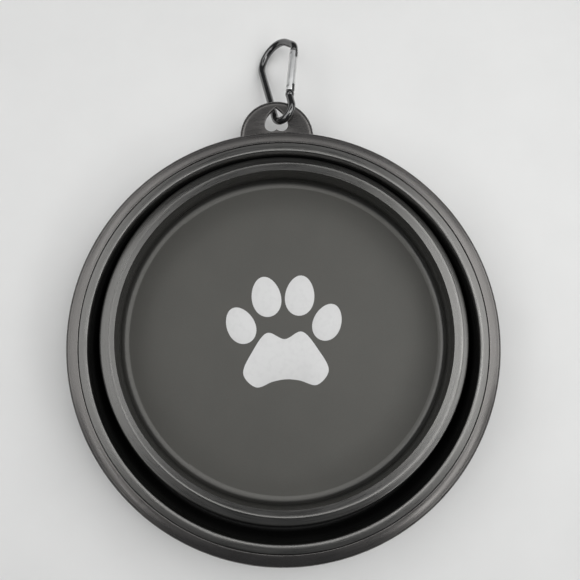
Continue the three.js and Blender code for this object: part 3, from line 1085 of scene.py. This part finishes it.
def addRod(mesh):
    path = rodPath()
    up = Vector((0.0, 0.0, 1.0))
    rows = []

    def addRow(centre, ahead, radius):
        side = ahead.cross(up).normalized()
        turns = [2 * pi * k / clip["rodSides"] for k in range(clip["rodSides"])]
        rows.append([mesh.verts.new((centre + radius * (cos(t) * side + sin(t) * up)) * mm) for t in turns])

    count, steps = len(path), clip["shoulderSteps"]
    soft, clear = clip["shoulderRound"], clip["shoulderRound"] * clip["shoulderClear"]
    for i, centre in enumerate(path):
        ahead = (path[min(i + 1, count - 1)] - path[max(i - 1, 0)]).normalized()
        if i in (0, count - 1):  # rounded shoulders at both ends
            outward = ahead if i else -ahead
            for n in range(steps + 1) if i else range(steps, -1, -1):
                turn = radians(90 * n / steps)
                inset = outward * soft * (1 - sin(turn))
                addRow(centre - inset, ahead, clip["rod"] - soft * (1 - cos(turn)))
            continue
        if min((centre - path[0]).length, (centre - path[-1]).length) > clear:
            addRow(centre, ahead, clip["rod"])
    joinAll(mesh, rows, False)
    mesh.faces.new(rows[0])
    mesh.faces.new(list(reversed(rows[-1])))


# the rod's swollen end at the hinge
def addCollar(mesh):
    end = gate["start"] - gate["hingeGap"]
    start, soft, wide = end - clip["collar"], clip["shoulderRound"], gate["radius"]
    foot, rise = clip["collarFoot"], clip["collar"] * clip["collarRise"]
    profile = [(0.0, start), (foot, start)]
    for i in range(1, clip["collarSteps"] + 1):
        share = i / clip["collarSteps"]
        profile.append((foot + easeShare(share) * (wide - foot), start + share * rise))
    profile += arcPoints(wide - soft, end - soft, soft, 0, 90, 5) + [(0.0, end)]
    turnProfile(mesh, profile, clip["rodSides"], lambda x, y, z: gateLine @ (Vector((x, z, y)) * mm))


# a flat tongue in the gate's frame, with eased edges
def addTongue(mesh, outline):
    half, soft = clip["tongue"] / 2, clip["tongueRound"]
    normals = []
    count = len(outline)
    for i in range(count):
        before, after = Vector(outline[i - 1]), Vector(outline[(i + 1) % count])
        along = (after - before).normalized()
        normals.append(Vector((along.y, -along.x)))

    def ring(height, inward):
        points = [Vector(p) - n * inward for p, n in zip(outline, normals)]
        return [mesh.verts.new(gateLine @ (Vector((p.x, p.y, height)) * mm)) for p in points]

    rows = [ring(-half, soft), ring(-half + soft, 0.0), ring(half - soft, 0.0), ring(half, soft)]
    joinAll(mesh, rows, False)
    mesh.faces.new(list(reversed(rows[0])))
    mesh.faces.new(rows[-1])


def hingeOutline():
    wide = clip["hingeTongue"]
    root = gate["start"] - gate["hingeGap"] - clip["tongueRoot"]
    return [(-wide, root), (wide, root)] + arcPoints(0.0, rivetAt, wide, 0, 180, clip["tipSteps"])


def noseOutline():
    half, play = clip["noseTongue"], gate["latchPlay"]
    tip, root = latchAt - gate["hook"], gateEnd + gate["noseGap"] + clip["tongueRoot"]
    outline = [(-half, tip), (half, tip), (half, root), (-half, root), (-half, latchAt + play)]
    outline += arcPoints(0.0, latchAt, play, 90, -90, 12)  # the latch pin's seat
    return outline + [(-half, latchAt - play)]


def makeRod():
    mesh = bmesh.new()
    addRod(mesh)
    addCollar(mesh)
    addTongue(mesh, hingeOutline())
    addTongue(mesh, noseOutline())
    bmesh.ops.transform(mesh, matrix=laid, verts=mesh.verts)
    piece = newPiece("carabiner_rod", mesh, rodBlack)
    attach(piece, "carabiner")
    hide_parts("carabiner_frame")


def cutAway(piece, build):
    mesh = bmesh.new()
    build(mesh)
    data = meshData("cutter", mesh)
    cutter = newObject("cutter", data)
    cutter.matrix_world = piece.matrix_world
    cut = piece.modifiers.new("cut", "BOOLEAN")
    cut.operation = "DIFFERENCE"
    cut.solver = "EXACT"
    cut.object = cutter
    bpy.context.view_layer.update()
    seen = piece.evaluated_get(bpy.context.evaluated_depsgraph_get())
    shaped = bpy.data.meshes.new_from_object(seen)
    piece.modifiers.clear()
    old = piece.data
    piece.data = shaped
    bpy.data.meshes.remove(old)
    bpy.data.objects.remove(cutter)
    bpy.data.meshes.remove(data)


def slotCutter(start, stop):
    wide, half = 2 * gate["radius"], clip["tongue"] / 2 + gate["slotClear"]

    def build(mesh):
        size = Matrix.Diagonal((2 * wide * mm, (stop - start) * mm, 2 * half * mm, 1.0))
        place = Matrix.Translation((0.0, (start + stop) / 2 * mm, 0.0))
        bmesh.ops.create_cube(mesh, size=1.0, matrix=place @ size)

    return build


def roundCutter(radius, at, length, axis):
    def build(mesh):
        turn = Matrix.Rotation(radians(90), 4, "X") if axis == "Y" else Matrix.Identity(4)
        bmesh.ops.create_cone(
            mesh,
            cap_ends=True,
            segments=gate["cutSides"],
            radius1=radius * mm,
            radius2=radius * mm,
            depth=length * mm,
            matrix=Matrix.Translation((0.0, at * mm, 0.0)) @ turn,
        )

    return build


def makeGate():
    g, soft = gate, gate["endRound"]
    inner = g["radius"] - soft
    profile = [(0.0, g["start"])] + arcPoints(inner, g["start"] + soft, soft, -90, 0, 6)
    profile += arcPoints(inner, gateEnd - soft, soft, 0, 90, 6) + [(0.0, gateEnd)]
    mesh = bmesh.new()
    turnProfile(mesh, profile, g["sides"], lambda x, y, z: Vector((x, z, y)) * mm)
    piece = newPiece("carabiner_gate_tube", mesh, gateMetal)
    piece.matrix_world = laidGate
    bpy.context.view_layer.update()
    hingeSlotEnd = rivetAt + clip["hingeTongue"] + g["slotEnd"]
    noseSlotEnd = latchAt - g["hook"] - g["slotEnd"]
    cutAway(piece, slotCutter(g["start"] - g["slotOver"], hingeSlotEnd))
    cutAway(piece, slotCutter(noseSlotEnd, gateEnd + g["slotOver"]))
    cutAway(piece, roundCutter(g["bore"], hingeSlotEnd, 2 * g["boreLength"], "Y"))
    for radius, at in zip(g["pinHoles"], (rivetAt, latchAt)):
        cutAway(piece, roundCutter(radius, at, g["pinHoleLength"], "Z"))
    mesh = bmesh.new()
    mesh.from_mesh(piece.data)
    dropSlivers(mesh, meshing["nearAfterCuts"])
    mesh.to_mesh(piece.data)
    mesh.free()
    shadeSmooth(piece.data, meshing["sharp"])
    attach(piece, "gate")
    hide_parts("carabiner_gate")


makeRod()
makeGate()
for name in ("gate_hinge_rivet", "gate_latch_pin", "gate_spring"):
    nodes[name].data.materials.clear()
    nodes[name].data.materials.append(pinSteel)
    shadeSmooth(nodes[name].data, meshing["sharpRound"])
print("carabiner made")


# floor, light and camera

studio = {
    "floorHalf": 1.2,
    "floorCells": 8,
    "floor": (0.79, 0.79, 0.78),
    "floorGrain": 0.03,
    "floorSpan": (0.3, 0.7),
    "floorCloud": (30.0, 3.0),
    "floorRoughness": 0.85,
    "world": (0.92, 0.95, 1.0),
    "worldLevel": 0.08,
    "lamps": [  # place and size in metres, power in watts
        ("left_panel", (-0.369, 0.055, 0.473), (0.39, 0.485), 0.98),
        ("left_strip", (-0.13, 0.03, 0.586), (0.21, 0.095), 0.12),
        ("low_left_panel", (-0.36, -0.235, 0.45), (0.22, 0.12), 0.18),
        ("right_panel", (0.369, 0.055, 0.473), (0.39, 0.485), 1.36),
        ("right_strip", (0.13, 0.03, 0.586), (0.21, 0.095), 0.33),
        ("low_right_panel", (0.35, -0.275, 0.45), (0.28, 0.13), 0.44),
        ("over_panel", (0.0, 0.0, 0.74), (0.30, 0.155), 0.40),
        ("far_panel", (0.0, 0.48, 0.50), (0.50, 0.20), 0.36),
        ("far_left_panel", (-0.30, 0.325, 0.42), (0.24, 0.22), 0.30),
        ("far_right_panel", (0.30, 0.325, 0.42), (0.24, 0.22), 0.26),
    ],
}

photoCamera = {
    "focal": 640.0,  # pixels, in a picture this wide
    "picture": 580.0,
    "sensor": 36.0,
    "near": 0.01,
    "place": (-5.545, -19.672, 289.4),
    "turns": (-8.0998, 1.7848, 2.1404),
}


def makeStudio():
    mesh = bmesh.new()
    cells = studio["floorCells"]
    bmesh.ops.create_grid(mesh, x_segments=cells, y_segments=cells, size=studio["floorHalf"])
    finish, tree, shader = startFinish("pale_floor")
    shader.inputs["Roughness"].default_value = studio["floorRoughness"]
    cloud = addNoise(tree, addPlace(tree), *studio["floorCloud"])
    light = studio["floor"]
    dark = tuple(c * (1 - studio["floorGrain"]) for c in light)
    colour = addColours(tree, cloud, studio["floorSpan"], (dark, light))
    tree.links.new(colour, shader.inputs["Base Color"])
    floor = newPiece("floor", mesh, finish)
    world = bpy.data.worlds.new("studio")
    world.use_nodes = True
    sky = world.node_tree.nodes["Background"]
    sky.inputs["Color"].default_value = (*studio["world"], 1.0)
    sky.inputs["Strength"].default_value = studio["worldLevel"]
    scene.world = world
    for name, place, size, power in studio["lamps"]:
        lamp = bpy.data.lights.new(name, "AREA")
        lamp.shape = "RECTANGLE"
        lamp.size, lamp.size_y = size
        lamp.energy = power
        holder = newObject(name, lamp)
        holder.location = place
        holder.rotation_euler = (-Vector(place)).to_track_quat("-Z", "Y").to_euler()


def makeCamera():
    p = photoCamera
    rx, ry, rz = [radians(a) for a in p["turns"]]
    look = Matrix.Rotation(rz, 4, "Z") @ Matrix.Rotation(ry, 4, "Y") @ Matrix.Rotation(rx, 4, "X")
    lens = bpy.data.cameras.new("photo_camera")
    lens.lens = p["focal"] * p["sensor"] / p["picture"]
    lens.sensor_width = p["sensor"]
    lens.clip_start = p["near"]
    camera = newObject("photo_camera", lens)
    camera.matrix_world = Matrix.Translation(Vector(p["place"]) * mm) @ look.transposed()
    scene.camera = camera


makeStudio()
makeCamera()
scene.view_settings.view_transform = "Standard"
print("floor, light and camera set")
